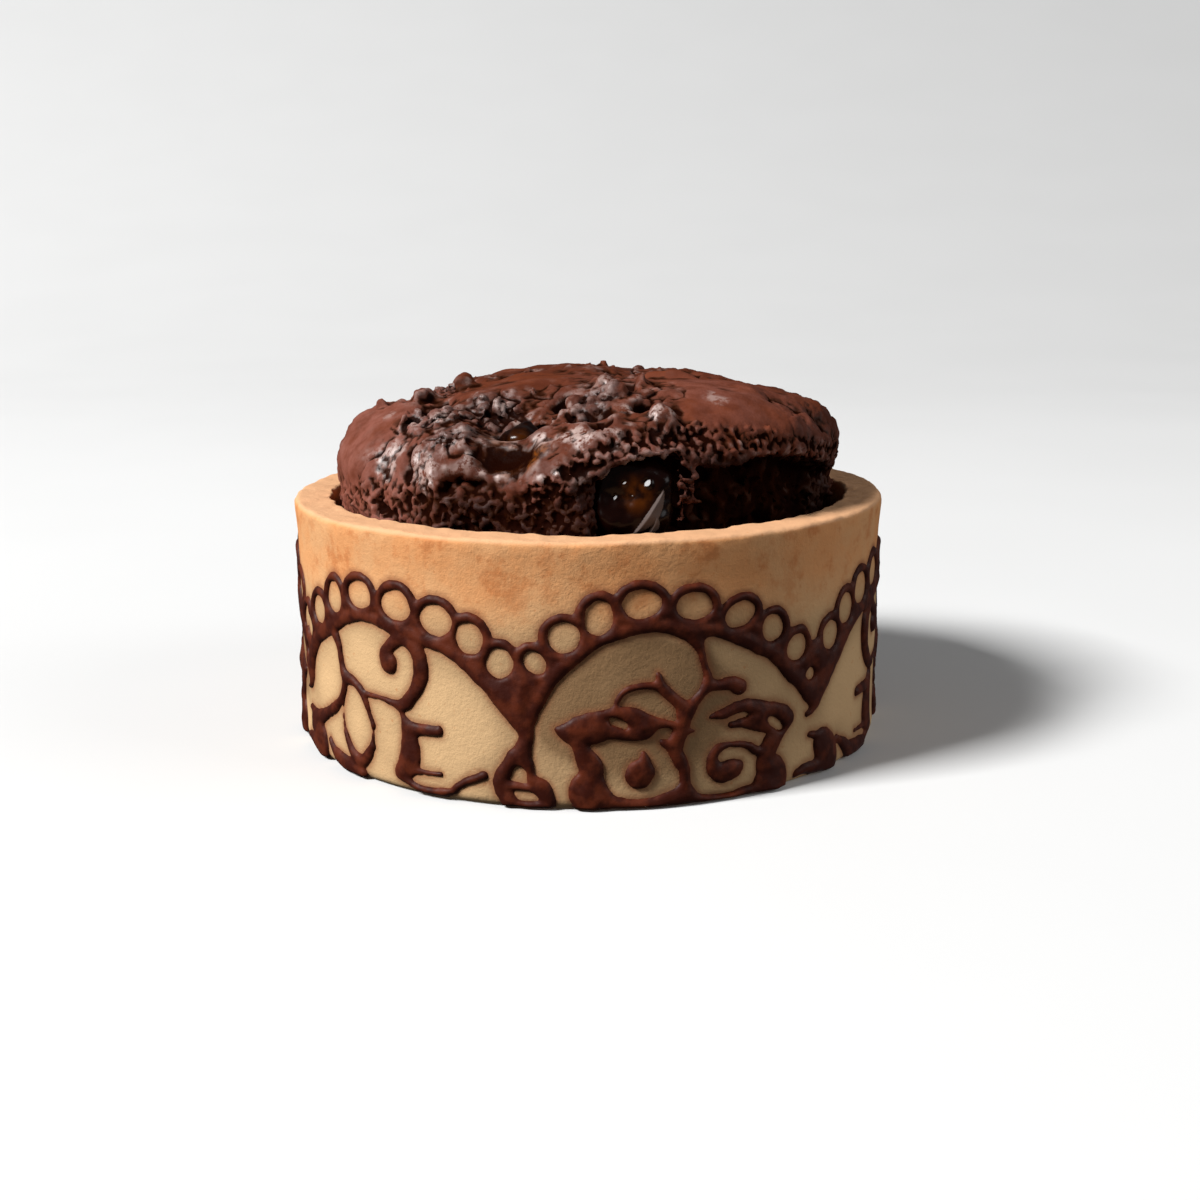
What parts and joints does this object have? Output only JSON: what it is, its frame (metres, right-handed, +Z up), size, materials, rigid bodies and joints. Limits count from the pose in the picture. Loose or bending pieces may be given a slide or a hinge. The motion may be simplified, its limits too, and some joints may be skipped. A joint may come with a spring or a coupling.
{
  "type": "brownie cookie",
  "caption": "Round straight-walled cookie cup with raised cocoa lace round its wall, filled with a craggy domed chocolate brownie that stands above the rim",
  "frame": {"origin": "middle of the flat base", "axes": "+Z up, -Y is the front seen in the picture, +X to the right seen from the front"},
  "size_m": [0.0708, 0.0709, 0.0431],
  "materials": {
    "cookie_dough": "matte baked cookie dough, browner towards the rim, with raised dark cocoa lace",
    "brownie_crumb": "dark reddish brown brownie with a soft sheen on the crust and matte crumb at the torn side",
    "dark_chocolate": "half melted glossy dark chocolate",
    "cocoa_lace": "baked cocoa paste with a faint sheen"
  },
  "bodies": {
    "root": {"cookie_shell": "cookie_dough", "brownie": "brownie_crumb", "chocolate_chunk_front": "dark_chocolate", "chocolate_chunk_top": "dark_chocolate"}
  },
  "joints": []
}
